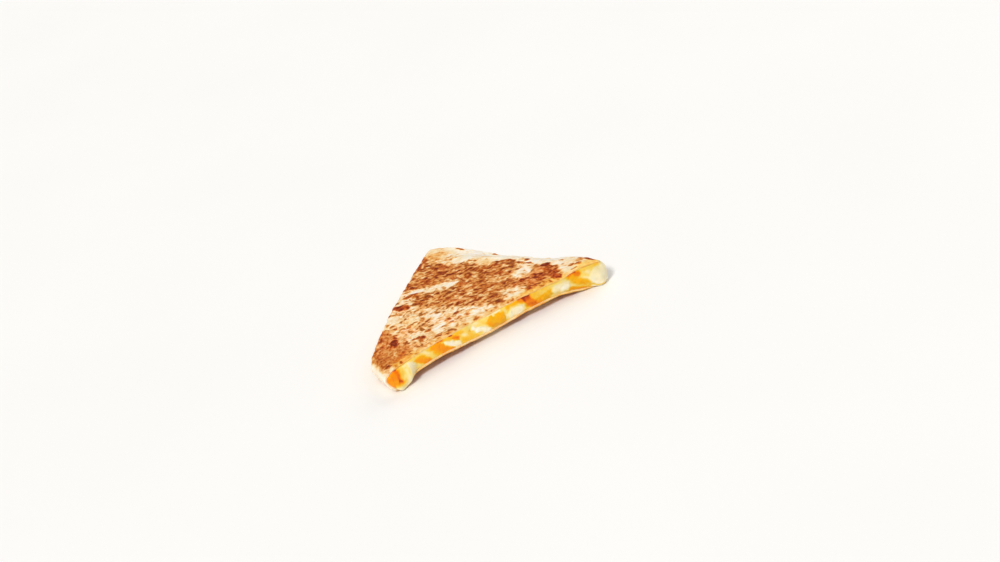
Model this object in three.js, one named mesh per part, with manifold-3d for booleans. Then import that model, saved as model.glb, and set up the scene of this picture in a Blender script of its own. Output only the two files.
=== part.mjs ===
// One wedge of a toasted cheese quesadilla, in millimetres, +Z up, lying on its underside.
//
// A ten-inch flour tortilla is folded in half over two melted cheeses, toasted flat and cut into
// four. This is one of the two middle quarters: a short piece of the fold at the narrow end, two
// long cuts that show the filling, and the tortilla's own rim at the wide end.
//
// Wedge coordinates: x runs from the fold to the rim along the front cut, y into the wedge.
// t is 0 at the fold line and 1 at the rim; v is 0 on the front cut and 1 on the back cut.
import * as THREE from "three";
import { mergeVertices } from "three/addons/utils/BufferGeometryUtils.js";
import Module from "manifold-3d";

// ---- Driving dimensions ----
const TORTILLA_RADIUS = 127;
const CUT_MEETING = 19.5; // the two cuts would meet this far outside the fold
const WEDGE_ANGLE = Math.PI / 4;
const SHEET = 1.4; // thickness of one layer of tortilla
const THICKNESS = 13; // from the table to the top, at the fold and along the cuts' ends
const CROWN = 1.5; // how much higher the middle stands
const CROWN_POWER = 0.8; // of the half wave from fold to rim; less is flatter on top
const SWELL = 0.45; // the top wanders up and down by this
const SWELL_SIZE = 27; // over about this distance
const RIM_THICKNESS = 6.2; // both layers and the little cheese between them, at the rim's middle
const RIM_CORNERS = [0.07, 0.42]; // share of the rim, from each corner, over which it gets that thin
const RIM_RUN = 16; // width of the slope down to the rim
const FRONT_BOW = 5.2; // the front cut bows in
const BACK_BOW = 2.8; // the back cut bows out
const BACK_BOW_POWER = 0.4;
const ROUND_POWER = 1.5; // how soon the lines across the wedge take on the round of the rim
const EDGE_LIFT = 3.75; // the lower layer lifts off the table along the front cut
const EDGE_WAVE = { share: 0.2, length: 64, crest: 28 }; // by a little more and less along it
const LIFT_RUN = 19; // width of that lifted strip
const LIFT_START = [0.05, 0.13]; // it starts to lift here and is fully up here, as values of t
const LIFT_END = [0.8, 0.98];
const REST_RISE = 0.4; // the underside stands this clear of the table past its corners' lines
const REST_RUN = 1.5; // it gets there over this width
const REST_SLOPE = 0.04; // and rises on at this slope
const FOLD_RUN = 5; // where the flat layers turn into the fold's nose
const FOLD_BULGE = 3; // how far the nose stands out past the fold line, at its middle height
const NOSE_LEAN = 0.7; // it stands out further above and less below, by half this share
const NOSE_POWER = 2.5; // 2 is an ellipse, more is squarer
const FOLD_START = FOLD_RUN / TORTILLA_RADIUS; // the same place as a value of t
const GAP = 0.3; // clearance between neighbouring solids
const CENTRE = new THREE.Vector2(64.12, 48.74); // middle of the wedge's bounding box

// ---- Small helpers ----
const { PI, abs, cos, exp, hypot, max, min, pow, sign, sin, sqrt, tan } = Math;
const { clamp, lerp, smoothstep } = THREE.MathUtils;
const bell = (x, centre, width) => exp(-(((x - centre) / width) ** 2));
const fraction = (x) => x - Math.floor(x);

// A repeatable number from 0 to 1 for a cell of a grid.
function cellNumber(i, j, salt) {
  return fraction(sin(i * 127.1 + j * 311.7 + salt * 74.7) * 43758.5453);
}

// Smooth noise from -1 to 1 whose features are about `size` wide.
function noise(x, y, size, salt) {
  const i = Math.floor(x / size);
  const j = Math.floor(y / size);
  const a = smoothstep(x / size - i, 0, 1);
  const b = smoothstep(y / size - j, 0, 1);
  const near = lerp(cellNumber(i, j, salt), cellNumber(i + 1, j, salt), a);
  const far = lerp(cellNumber(i, j + 1, salt), cellNumber(i + 1, j + 1, salt), a);
  return 2 * lerp(near, far, b) - 1;
}

// ---- Blisters: one low round bump in most cells of a grid ----
const BLISTER_CELL = 9;
const BLISTER_SHARE = 0.72;
const BLISTER_RADIUS = [2.6, 5];
const BLISTER_HEIGHT = [0.25, 0.75];

function blisters(x, y, salt) {
  const column = Math.floor(x / BLISTER_CELL);
  const row = Math.floor(y / BLISTER_CELL);
  let height = 0;
  for (let i = column - 1; i <= column + 1; i++) {
    for (let j = row - 1; j <= row + 1; j++) {
      if (cellNumber(i, j, salt) > BLISTER_SHARE) continue;
      const middleX = (i + 0.2 + 0.6 * cellNumber(i, j, salt + 1)) * BLISTER_CELL;
      const middleY = (j + 0.2 + 0.6 * cellNumber(i, j, salt + 2)) * BLISTER_CELL;
      const radius = lerp(...BLISTER_RADIUS, cellNumber(i, j, salt + 3));
      const away = hypot(x - middleX, y - middleY) / radius;
      if (away >= 1) continue;
      const rise = lerp(...BLISTER_HEIGHT, cellNumber(i, j, salt + 4));
      height = max(height, rise * (1 - away * away) ** 2 * (1 + away * away));
    }
  }
  return height;
}

// ---- The wedge's outline on the table ----
const foldEnd = new THREE.Vector2(0, CUT_MEETING * tan(WEDGE_ANGLE));
const frontCorner = new THREE.Vector2(TORTILLA_RADIUS, 0);
const backReach =
  CUT_MEETING * cos(WEDGE_ANGLE) +
  sqrt(TORTILLA_RADIUS ** 2 - (CUT_MEETING * sin(WEDGE_ANGLE)) ** 2);
const backCorner = new THREE.Vector2(
  backReach * cos(WEDGE_ANGLE) - CUT_MEETING,
  backReach * sin(WEDGE_ANGLE),
);
const rimAngle = backCorner.angle();

// The wide end's corners: how far each stands out past the round of the rim, how far round the
// corner that is felt, and how much higher the cheese holds the upper layer there.
const CORNERS = [
  { corner: frontCorner, out: 1.5, reach: 8, rise: 1.2 },
  { corner: backCorner, out: -0.4, reach: 5, rise: 0.9 },
];
const RISE_REACH = 18;

function frontCut(t) {
  const bow = FRONT_BOW * sqrt(sin(PI * clamp(t, 0, 1)));
  return new THREE.Vector2(TORTILLA_RADIUS * t, bow);
}

function backCut(t) {
  const bow = BACK_BOW * pow(sin(PI * clamp(t, 0, 1)), BACK_BOW_POWER);
  const outward = new THREE.Vector2(-sin(WEDGE_ANGLE), cos(WEDGE_ANGLE));
  return foldEnd.clone().lerp(backCorner, t).addScaledVector(outward, bow);
}

// A point of the outline's grid. v may run a little past 0 and 1.
function plan(t, v) {
  const point = frontCut(t).lerp(backCut(t), v);
  const arc = new THREE.Vector2(cos(rimAngle * v), sin(rimAngle * v)).multiplyScalar(TORTILLA_RADIUS);
  const chord = frontCorner.clone().lerp(backCorner, v);
  point.addScaledVector(arc.sub(chord), pow(max(t, 0), ROUND_POWER));
  for (const { corner, out, reach } of CORNERS) {
    const outward = corner.clone().normalize();
    point.addScaledVector(outward, out * bell(point.distanceTo(corner), 0, reach));
  }
  return point;
}

// ---- Heights of the two faces of the folded tortilla ----
function rimSlope(t) {
  const inside = clamp(((1 - t) * TORTILLA_RADIUS) / RIM_RUN, 0, 1);
  return 0.5 * (1 + cos(PI * inside));
}

function topHeight(t, v) {
  const point = plan(t, v);
  const pinched = smoothstep(min(v, 1 - v), ...RIM_CORNERS);
  const crown = CROWN * pow(sin(PI * clamp(t, 0, 1)), CROWN_POWER);
  let swell = SWELL * noise(point.x, point.y, SWELL_SIZE, 11);
  for (const { corner, rise } of CORNERS) {
    swell += rise * bell(point.distanceTo(corner), 0, RISE_REACH);
  }
  return THICKNESS + crown + swell - (THICKNESS - RIM_THICKNESS) * rimSlope(t) * pinched;
}

// The wedge rests on the area between its corners. The round rim and the bowed back cut reach past
// the straight lines that join them, and stand clear of the table there.
const restLines = [
  [plan(FOLD_START, 1), plan(1, 1)],
  [plan(1, 1), plan(1, 0)],
];

function riseOutside(point) {
  const depths = restLines.map(([start, end]) => {
    const along = end.clone().sub(start).normalize();
    return along.cross(point.clone().sub(start));
  });
  const depth = max(0, ...depths);
  return REST_RISE * smoothstep(depth, 0, REST_RUN) + REST_SLOPE * depth;
}

function bottomHeight(t, v) {
  const fromFront = clamp(v, 0, 1) * hypot(...frontCut(t).sub(backCut(t)));
  const alongFront = smoothstep(t, ...LIFT_START) * (1 - smoothstep(t, ...LIFT_END));
  const turn = (2 * PI * (t * TORTILLA_RADIUS - EDGE_WAVE.crest)) / EDGE_WAVE.length;
  const wave = 1 + EDGE_WAVE.share * cos(turn);
  const lift = EDGE_LIFT * wave * alongFront * (1 - smoothstep(fromFront, 0, LIFT_RUN));
  return lift + riseOutside(plan(t, v));
}

// ---- A box of the given numbers of steps, bent into a layer of the wedge ----
// place(u, v, w) gives a point for u from fold to rim, v from front to back and w from bottom to top.
function bentBox(steps, place) {
  const box = new THREE.BoxGeometry(1, 1, 1, ...steps);
  box.deleteAttribute("normal");
  box.deleteAttribute("uv");
  const shape = mergeVertices(box, 1e-4);
  const points = shape.getAttribute("position");
  for (let i = 0; i < points.count; i++) {
    const bent = place(points.getX(i) + 0.5, points.getY(i) + 0.5, points.getZ(i) + 0.5);
    points.setXYZ(i, ...bent);
  }
  return shape;
}

// The nose of the fold: a half superellipse in section, from the lower layer round to the upper.
function nose(v, w, inset) {
  const turn = (clamp(w, 0, 1) - 0.5) * PI;
  const rise = sign(sin(turn)) * pow(abs(sin(turn)), 2 / NOSE_POWER);
  const reach = (FOLD_RUN + FOLD_BULGE) * (1 + (NOSE_LEAN * rise) / 2) - inset;
  const t = FOLD_START - (reach * pow(abs(cos(turn)), 2 / NOSE_POWER)) / TORTILLA_RADIUS;
  const high = topHeight(FOLD_START, v) - inset;
  const low = bottomHeight(FOLD_START, v) + inset;
  const beyond = w - clamp(w, 0, 1);
  return [t, (high + low) / 2 + (rise / 2 + beyond) * (high - low)];
}

// Place and height at share w of the way from the lower face to the upper, `inset` in from both.
function between(t, v, w, inset, atNose) {
  if (atNose) return nose(v, w, inset);
  const inside = min(t, 1);
  return [t, lerp(bottomHeight(inside, v) + inset, topHeight(inside, v) - inset, w)];
}

// ---- The folded tortilla ----
const UNDERSIDE_RELIEF = 0.5; // share of the top's relief that the pressed underside keeps
const FOOT = { x: 62, y: 40, radius: 26, margin: 8 }; // the underside is smooth here

// Dents of the underside, kept off the foot.
function dents(x, y) {
  const off = smoothstep(hypot(x - FOOT.x, y - FOOT.y), FOOT.radius, FOOT.radius + FOOT.margin);
  return off * UNDERSIDE_RELIEF * blisters(x, y, 23);
}

function placeTortilla(u, v, w) {
  const [t, z] = between(lerp(FOLD_START, 1, u), v, w, 0, u < 1e-6);
  const { x, y } = plan(t, v);
  const edge = min(v, 1 - v, 1 - u, u + 0.04);
  const calm = smoothstep(edge, 0, 0.05);
  if (w > 0.999) return [x, y, z + calm * blisters(x, y, 3)];
  if (w < 0.001) return [x, y, z + calm * dents(x, y)];
  return [x, y, z];
}

const OVERRUN = 9; // how far the room between the layers is taken out past the cuts and the rim

// Place in the outline's grid for shares u and v of a block that overruns the wedge on every side
// but the fold's.
function overrun(start, u, v) {
  const t = lerp(start, 1 + OVERRUN / TORTILLA_RADIUS, u);
  const spill = OVERRUN / frontCut(t).distanceTo(backCut(t));
  return [t, lerp(-spill, 1 + spill, v)];
}

// The room between the two layers, `inset` in from the outside.
function placeRoom(inset) {
  return (u, v, w) => {
    const [along, across] = overrun(FOLD_START, u, v);
    const [t, z] = between(along, clamp(across, 0, 1), w, inset, u < 1e-6);
    const { x, y } = plan(t, across);
    return [x, y, z];
  };
}

// ---- The filling: white cheese below, yellow above, in pools that trade places along the cuts ----
// Pools of white along the front cut: where, how wide, and how much of the height they take.
const WHITE_POOLS = [
  { x: 10.8, width: 4.6, share: 0.9 },
  { x: 39.5, width: 5.5, share: 0.45 },
  { x: 56, width: 4.5, share: 0.45 },
  { x: 77.5, width: 7.5, share: 0.55 },
  { x: 104, width: 5.5, share: 0.65 },
  { x: 125, width: 8, share: 0.75 },
];
const WHITE_LEAST = 0.08;
const WHITE_MOST = 0.88;

function whiteShare(x, y, v) {
  let front = WHITE_LEAST;
  for (const pool of WHITE_POOLS) front += pool.share * bell(x, pool.x, pool.width);
  const inner = 0.42 + 0.42 * noise(x, y, 12, 31);
  return clamp(lerp(front, inner, smoothstep(v, 0.03, 0.18)), WHITE_LEAST, WHITE_MOST);
}

// How far the filling bulges out past each cut, at its middle height.
const FRONT_BULGES = [
  { x: 3, width: 4, out: 1.4 },
  { x: 11, width: 3.6, out: 4 },
  { x: 65, width: 8, out: 1 },
  { x: 106, width: 9, out: 0.8 },
  { x: 126, width: 8, out: 2.6 },
];
const LEAST_BULGE = 0.6;

function frontBulge(x) {
  let out = LEAST_BULGE;
  for (const bulge of FRONT_BULGES) out += bulge.out * bell(x, bulge.x, bulge.width);
  return out;
}

// The whole filling, its sides rounded. It starts too thick and is cut to the room afterwards.
const RIM_RECESS = 2; // the filling ends this far inside the rim, before its bulge
const RIM_BULGE = 0.8;
const CORNER_OVERFLOW = 5; // more comes out at the front corner of the rim
const OVERFLOW_REACH = 14; // how far round that corner
const BACK_BULGE = 1;
const SET_BACK = 0.3; // where a layer of tortilla meets the filling, the filling starts this far in
const OVERSIZE = 0.15; // share of the filling's height
const BULGE_DEPTH = 0.035; // share of the wedge's width that moves out with a bulge

function placeFilling(u, v, w) {
  const level = lerp(-OVERSIZE, 1 + OVERSIZE, w);
  const along = lerp(FOLD_START, 1 - RIM_RECESS / TORTILLA_RADIUS, u);
  const [t, z] = between(along, v, level, SHEET + GAP, u < 1e-6);
  const point = plan(t, v);
  const round = sqrt(max(0, 1 - (2 * level - 1) ** 2));
  const front = bell(v, 0, BULGE_DEPTH) * (frontBulge(point.x) * round - SET_BACK);
  const back = bell(v, 1, BULGE_DEPTH) * (BACK_BULGE * round - SET_BACK);
  point.x -= back * sin(WEDGE_ANGLE);
  point.y += back * cos(WEDGE_ANGLE) - front;
  if (u > 0.999) {
    const near = bell(point.distanceTo(frontCorner), 0, OVERFLOW_REACH);
    const overflow = RIM_BULGE + CORNER_OVERFLOW * near;
    point.addScaledVector(point.clone().normalize(), overflow * round);
  }
  return [point.x, point.y, z];
}

// Everything up to the top of the white cheese, raised by `extra`, and wider than the filling.
function placeWhiteLevel(extra) {
  return (u, v, w) => {
    const [t, across] = overrun(-OVERRUN / TORTILLA_RADIUS, u, v);
    const inside = clamp(across, 0, 1);
    const { x, y } = plan(t, across);
    const held = clamp(t, FOLD_START, 1);
    const z = between(held, inside, w * whiteShare(x, y, inside), SHEET + GAP, false)[1];
    return [x, y, w > 0 ? z + extra : -1];
  };
}

// ---- Booleans ----
const wasm = await Module();
wasm.setup();

function toSolid(geometry) {
  return new wasm.Manifold(
    new wasm.Mesh({
      numProp: 3,
      vertProperties: new Float32Array(geometry.getAttribute("position").array),
      triVerts: new Uint32Array(geometry.index.array),
    }),
  );
}

function toGeometry(solid) {
  const { vertProperties, triVerts } = solid.getMesh();
  const geometry = new THREE.BufferGeometry();
  geometry.setAttribute("position", new THREE.BufferAttribute(vertProperties, 3));
  geometry.setIndex(new THREE.BufferAttribute(triVerts, 1));
  geometry.computeVertexNormals();
  return geometry;
}

// ---- The three pieces ----
const OUTSIDE_STEPS = [40, 27, 7];
const ROOM_STEPS = [22, 14, 6];
const FILLING_STEPS = [44, 8, 5];
const LEVEL_STEPS = [44, 10, 1];

const outside = toSolid(bentBox(OUTSIDE_STEPS, placeTortilla));
const tortilla = outside.subtract(toSolid(bentBox(ROOM_STEPS, placeRoom(SHEET))));
const room = toSolid(bentBox(ROOM_STEPS, placeRoom(SHEET + GAP)));
const filling = toSolid(bentBox(FILLING_STEPS, placeFilling)).intersect(room);
const white = filling.intersect(toSolid(bentBox(LEVEL_STEPS, placeWhiteLevel(-GAP / 2))));
const yellow = filling.subtract(toSolid(bentBox(LEVEL_STEPS, placeWhiteLevel(GAP / 2))));

const tortillaLook = new THREE.MeshStandardMaterial({ color: "#d9a56c", roughness: 0.8, metalness: 0 });
const yellowLook = new THREE.MeshStandardMaterial({ color: "#f8a51c", roughness: 0.35, metalness: 0 });
const whiteLook = new THREE.MeshStandardMaterial({ color: "#f7e9bd", roughness: 0.35, metalness: 0 });

const quesadilla = new THREE.Group();
for (const [name, solid, look] of [
  ["tortilla", tortilla, tortillaLook],
  ["yellow_cheese", yellow, yellowLook],
  ["white_cheese", white, whiteLook],
]) {
  const piece = new THREE.Mesh(toGeometry(solid), look);
  piece.name = name;
  piece.position.set(-CENTRE.x, -CENTRE.y, 0);
  quesadilla.add(piece);
}

export default quesadilla;
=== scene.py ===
"""A wedge of toasted cheese quesadilla: a folded flour tortilla with browned blisters, and the
melted yellow and white cheese that shows at its cuts. Shapes are worked out in millimetres, in
the wedge's own coordinates: x from the fold to the rim along the front cut, y into the wedge."""

import math

import bpy
import numpy as np
from mathutils import Matrix, Vector


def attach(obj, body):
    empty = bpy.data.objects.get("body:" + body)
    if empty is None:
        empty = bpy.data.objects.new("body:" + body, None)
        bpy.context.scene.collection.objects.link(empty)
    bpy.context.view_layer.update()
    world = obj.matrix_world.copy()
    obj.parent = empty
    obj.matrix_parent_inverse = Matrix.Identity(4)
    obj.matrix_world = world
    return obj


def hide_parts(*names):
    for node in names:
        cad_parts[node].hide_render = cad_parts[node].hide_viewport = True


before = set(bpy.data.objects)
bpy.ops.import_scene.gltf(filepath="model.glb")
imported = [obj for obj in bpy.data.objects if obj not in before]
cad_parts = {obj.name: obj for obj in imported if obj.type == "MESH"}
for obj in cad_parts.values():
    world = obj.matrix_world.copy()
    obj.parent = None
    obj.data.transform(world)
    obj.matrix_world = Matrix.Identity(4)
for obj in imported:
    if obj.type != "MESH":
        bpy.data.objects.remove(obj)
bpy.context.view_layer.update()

MM = 0.001

# ---- The wedge's dimensions, as in the solids; t is 0 at the fold, 1 at the rim ----
RADIUS = 127.0  # of the tortilla
CUT_MEETING = 19.5  # the two cuts would meet this far outside the fold
WEDGE_ANGLE = math.pi / 4
SHEET = 1.4
THICKNESS = 13.0
CROWN = 1.5  # how much higher the middle is
CROWN_POWER = 0.8
SWELL, SWELL_SIZE = 0.45, 27
RIM_THICKNESS = 6.2
RIM_CORNERS = (0.07, 0.42)  # it gets that thin between these shares from its corners
RIM_RUN = 16.0  # width of the slope down to the rim
FRONT_BOW = 5.2  # inward
BACK_BOW = 2.8  # outward
BACK_BOW_POWER = 0.4
ROUND_POWER = 1.5  # how soon lines across it take on the round of the rim
EDGE_LIFT = 3.75  # of the lower layer along the front cut
EDGE_WAVE_SHARE, EDGE_WAVE_LENGTH, EDGE_WAVE_CREST = 0.2, 64.0, 28.0
LIFT_RUN = 19.0
LIFT_START = (0.05, 0.13)  # it rises between these values of t
LIFT_END = (0.8, 0.98)  # and comes down between these
REST_RISE, REST_RUN, REST_SLOPE = 0.4, 1.5, 0.04  # of the underside past its corners' lines
FOLD_RUN = 5.0  # where the layers turn into the fold's nose
FOLD_BULGE = 3.0
NOSE_LEAN = 0.7
NOSE_POWER = 2.5  # 2 is an ellipse, more is squarer
FOLD_START = FOLD_RUN / RADIUS
CENTRE = np.array([64.12, 48.74, 0.0])  # middle of the solids' box


# ---- Small helpers on whole arrays; a salt gives a noise its own pattern ----
OCTAVE_TURNS, OCTAVE_FADE, OCTAVE_SALT = (0.6, 1.1), 1.7, 17
LUMP_ROOM = (0.2, 0.6)  # a lump lies this far into its cell, and up to so much further


def ease(x, low, high):
    s = np.clip((x - low) / (high - low), 0, 1)
    return s * s * (3 - 2 * s)


def bell(x, centre, width):
    return np.exp(-(((x - centre) / width) ** 2))


def lerp(a, b, share):
    return a + (b - a) * share


def from_point(x, y, place):
    return np.hypot(x - place[0], y - place[1])


def cell_number(i, j, salt):
    """A repeatable number from 0 to 1 for a cell of a grid."""
    n = np.sin(i * 127.1 + j * 311.7 + salt * 74.7) * 43758.5453
    return n - np.floor(n)


def noise(x, y, size, salt):
    """Smooth noise from -1 to 1 whose features are about size wide."""
    i, j = np.floor(x / size), np.floor(y / size)
    a, b = ease(x / size - i, 0, 1), ease(y / size - j, 0, 1)
    near = lerp(cell_number(i, j, salt), cell_number(i + 1, j, salt), a)
    far = lerp(cell_number(i, j + 1, salt), cell_number(i + 1, j + 1, salt), a)
    return 2 * lerp(near, far, b) - 1


def fractal(x, y, size, salt, octaves=3):
    """Noise with finer noise on it, turned between octaves so that no grid shows."""
    total, weight = 0.0, 0.0
    for k in range(octaves):
        a = OCTAVE_TURNS[0] + OCTAVE_TURNS[1] * k
        u, w = x * math.cos(a) - y * math.sin(a), x * math.sin(a) + y * math.cos(a)
        total = total + noise(u, w, size / 2**k, salt + OCTAVE_SALT * k) / OCTAVE_FADE**k
        weight += 1 / OCTAVE_FADE**k
    return total / weight


def lumps(x, y, cell, share, radius, height, salt):
    """One low round bump in most cells of a grid."""
    column, row = np.floor(x / cell), np.floor(y / cell)
    start, room = LUMP_ROOM
    result = np.zeros_like(x)
    for di in (-1, 0, 1):
        for dj in (-1, 0, 1):
            i, j = column + di, row + dj
            middle_x = (i + start + room * cell_number(i, j, salt + 1)) * cell
            middle_y = (j + start + room * cell_number(i, j, salt + 2)) * cell
            reach = lerp(*radius, cell_number(i, j, salt + 3))
            away = np.minimum(np.hypot(x - middle_x, y - middle_y) / reach, 1)
            rise = lerp(*height, cell_number(i, j, salt + 4))
            rise = np.where(cell_number(i, j, salt) > share, 0, rise)
            result = np.maximum(result, rise * (1 - away**2) ** 2 * (1 + away**2))
    return result


# ---- The outline on the table ----
FOLD_END = np.array([0.0, CUT_MEETING * math.tan(WEDGE_ANGLE)])
FRONT_CORNER = np.array([RADIUS, 0.0])
BACK_REACH = CUT_MEETING * math.cos(WEDGE_ANGLE) + math.sqrt(
    RADIUS**2 - (CUT_MEETING * math.sin(WEDGE_ANGLE)) ** 2
)
BACK_CORNER = np.array(
    [BACK_REACH * math.cos(WEDGE_ANGLE) - CUT_MEETING, BACK_REACH * math.sin(WEDGE_ANGLE)]
)
RIM_ANGLE = math.atan2(BACK_CORNER[1], BACK_CORNER[0])
# Each wide corner: how far it stands out, over what reach, and how much higher it is.
CORNERS = ((FRONT_CORNER, 1.5, 8.0, 1.2), (BACK_CORNER, -0.4, 5.0, 0.9))
RISE_REACH = 18.0
# Waves of the upper cut edge, not in the solid: x, width and height.
EDGE_WAVES = [(45, 9, 0.6), (64, 5, -0.4), (105, 5, -0.9), (115.5, 5.5, 0.7)]
EDGE_WAVE_REACH = 6
EDGE_SAG = (0.5, 93, 13)  # how far the lower edge sags, its x and width
BACK_OUTWARD = np.array([-math.sin(WEDGE_ANGLE), math.cos(WEDGE_ANGLE)])


def half_wave(t):
    return np.sin(math.pi * np.clip(t, 0, 1))


def front_cut(t):
    return np.stack([RADIUS * t, FRONT_BOW * np.sqrt(half_wave(t))], -1)


def back_cut(t):
    bow = BACK_BOW * half_wave(t) ** BACK_BOW_POWER
    return lerp(FOLD_END, BACK_CORNER, t[..., None]) + bow[..., None] * BACK_OUTWARD


def width_at(t):
    t = np.clip(t, 0, 1)
    return np.linalg.norm(back_cut(t) - front_cut(t), axis=-1)


def plan(t, v):
    """The point of the outline's grid at t from the fold to the rim and v from front to back."""
    point = lerp(front_cut(t), back_cut(t), v[..., None])
    angle = RIM_ANGLE * v
    arc = RADIUS * np.stack([np.cos(angle), np.sin(angle)], -1)
    chord = lerp(FRONT_CORNER, BACK_CORNER, v[..., None])
    point = point + (arc - chord) * (np.maximum(t, 0) ** ROUND_POWER)[..., None]
    for corner, out, reach, _ in CORNERS:
        near = bell(np.linalg.norm(point - corner, axis=-1), 0, reach)
        point = point + out * near[..., None] * corner / np.linalg.norm(corner)
    return point


# ---- Heights of the folded tortilla's two faces ----
def top_height(t, v):
    point = plan(t, v)
    x, y = np.moveaxis(point, -1, 0)
    inside = np.clip((1 - t) * RADIUS / RIM_RUN, 0, 1)
    slope = 0.5 * (1 + np.cos(math.pi * inside))
    pinched = ease(np.minimum(v, 1 - v), *RIM_CORNERS)
    swell = CROWN * half_wave(t) ** CROWN_POWER + SWELL * noise(x, y, SWELL_SIZE, 11)
    for corner, _, _, rise in CORNERS:
        swell = swell + rise * bell(np.linalg.norm(point - corner, axis=-1), 0, RISE_REACH)
    for place, width, rise in EDGE_WAVES:
        swell = swell + rise * bell(x, place, width) * bell(y, 0, EDGE_WAVE_REACH)
    return THICKNESS + swell - (THICKNESS - RIM_THICKNESS) * slope * pinched


# The corners on which the wedge rests; its underside rises past the lines between them.
REST_CORNERS = plan(np.array([FOLD_START, 1.0, 1.0]), np.array([1.0, 1.0, 0.0]))


def rise_outside(point):
    depth = np.zeros(point.shape[:-1])
    for start, end in zip(REST_CORNERS, REST_CORNERS[1:]):
        along = (end - start) / np.linalg.norm(end - start)
        away = point - start
        depth = np.maximum(depth, along[0] * away[..., 1] - along[1] * away[..., 0])
    return REST_RISE * ease(depth, 0, REST_RUN) + REST_SLOPE * depth


def bottom_height(t, v):
    from_front = np.clip(v, 0, 1) * width_at(t)
    along = ease(t, *LIFT_START) * (1 - ease(t, *LIFT_END))
    turn = 2 * math.pi * (t * RADIUS - EDGE_WAVE_CREST) / EDGE_WAVE_LENGTH
    wave = 1 + EDGE_WAVE_SHARE * np.cos(turn)
    sag, place, width = EDGE_SAG
    lift = (EDGE_LIFT * wave - sag * bell(t * RADIUS, place, width)) * along
    lift = lift * (1 - ease(from_front, 0, LIFT_RUN))
    return lift + rise_outside(plan(t, v))


def nose(v, level, inset):
    """The fold: a half superellipse in section from the lower layer (level 0) to the upper (1)."""
    turn = (level - 0.5) * math.pi
    rise = np.sign(np.sin(turn)) * np.abs(np.sin(turn)) ** (2 / NOSE_POWER)
    reach = (FOLD_RUN + FOLD_BULGE) * (1 + NOSE_LEAN * rise / 2) - inset
    t = FOLD_START - reach * np.abs(np.cos(turn)) ** (2 / NOSE_POWER) / RADIUS
    start = np.full_like(v, FOLD_START)
    high, low = top_height(start, v) - inset, bottom_height(start, v) + inset
    return t, (high + low) / 2 + rise * (high - low) / 2


def room_height(t, v, level, inset):
    return lerp(bottom_height(t, v) + inset, top_height(t, v) - inset, level)


# ---- Closed sheets: an outer grid, rings round its edge, an inner grid ----
def loop_of(rows, columns):
    """The grid's edge, once round."""
    loop = [(0, c) for c in range(columns)]
    loop += [(r, columns - 1) for r in range(1, rows)]
    loop += [(rows - 1, c) for c in range(columns - 2, -1, -1)]
    loop += [(r, 0) for r in range(rows - 2, 0, -1)]
    return loop


def kept_lines(count, step, margin=0):
    """Some of a grid's rows or columns: its edges, and every so many between."""
    near = {3, count - 4} if margin else set()
    return sorted({0, count - 1, *near, *range(margin, count - max(margin, 1), step)})


def closed_sheet(outer, rings, inner, keep_rows, keep_columns):
    """Vertices and faces of a closed body. rings are full turns of the grid's edge, the last one
    the edge of the inner grid, which is kept only at some of its rows and columns."""
    rows, columns = outer.shape[:2]
    loop = loop_of(rows, columns)
    count = len(loop)
    cells = np.arange(rows * columns).reshape(rows, columns)
    quads = [cells[:-1, :-1], cells[:-1, 1:], cells[1:, 1:], cells[1:, :-1]]
    faces = np.stack(quads, -1).reshape(-1, 4).tolist()
    points = [outer.reshape(-1, 3)]
    previous = np.array([cells[r, c] for r, c in loop])
    total = rows * columns
    for ring in rings:
        points.append(ring)
        current = total + np.arange(count)
        total += count
        side = np.stack([previous, current, np.roll(current, -1), np.roll(previous, -1)], -1)
        faces += side.tolist()
        previous = current
    number = {place: int(previous[k]) for k, place in enumerate(loop)}
    for r in keep_rows[1:-1]:
        for c in keep_columns[1:-1]:
            number[r, c] = total
            total += 1
            points.append(inner[r, c][None])
    for a, b in zip(keep_rows, keep_rows[1:]):
        for p, q in zip(keep_columns, keep_columns[1:]):
            face = [(a, c) for c in (range(p, q) if a == 0 else [p])]
            face += [(r, q) for r in (range(a, b) if q == columns - 1 else [a])]
            face += [(b, c) for c in (range(q, p, -1) if b == rows - 1 else [q])]
            face += [(r, p) for r in (range(b, a, -1) if p == 0 else [b])]
            faces.append([number[place] for place in reversed(face)])
    return np.concatenate(points), faces


def grid_normals(grid):
    normal = np.cross(np.gradient(grid, axis=0), np.gradient(grid, axis=1))
    return normal / np.maximum(np.linalg.norm(normal, axis=-1, keepdims=True), 1e-9)


def add_object(name, data):
    thing = bpy.data.objects.new(name, data)
    bpy.context.scene.collection.objects.link(thing)
    return thing


def make_piece(name, points, faces, fields, material, sharp=None):
    """A mesh made of points in the wedge's coordinates, with each named field's numbers."""
    mesh = bpy.data.meshes.new(name)
    mesh.from_pydata(((points - CENTRE) * MM).tolist(), [], faces)
    for key, values in fields.items():
        layer = mesh.attributes.new(key, "FLOAT", "POINT")
        layer.data.foreach_set("value", np.asarray(values, np.float32))
    mesh.shade_smooth()
    if sharp:
        mesh.set_sharp_from_angle(angle=math.radians(sharp))
    mesh.materials.append(material)
    piece = add_object(name, mesh)
    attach(piece, "root")
    return piece


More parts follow.
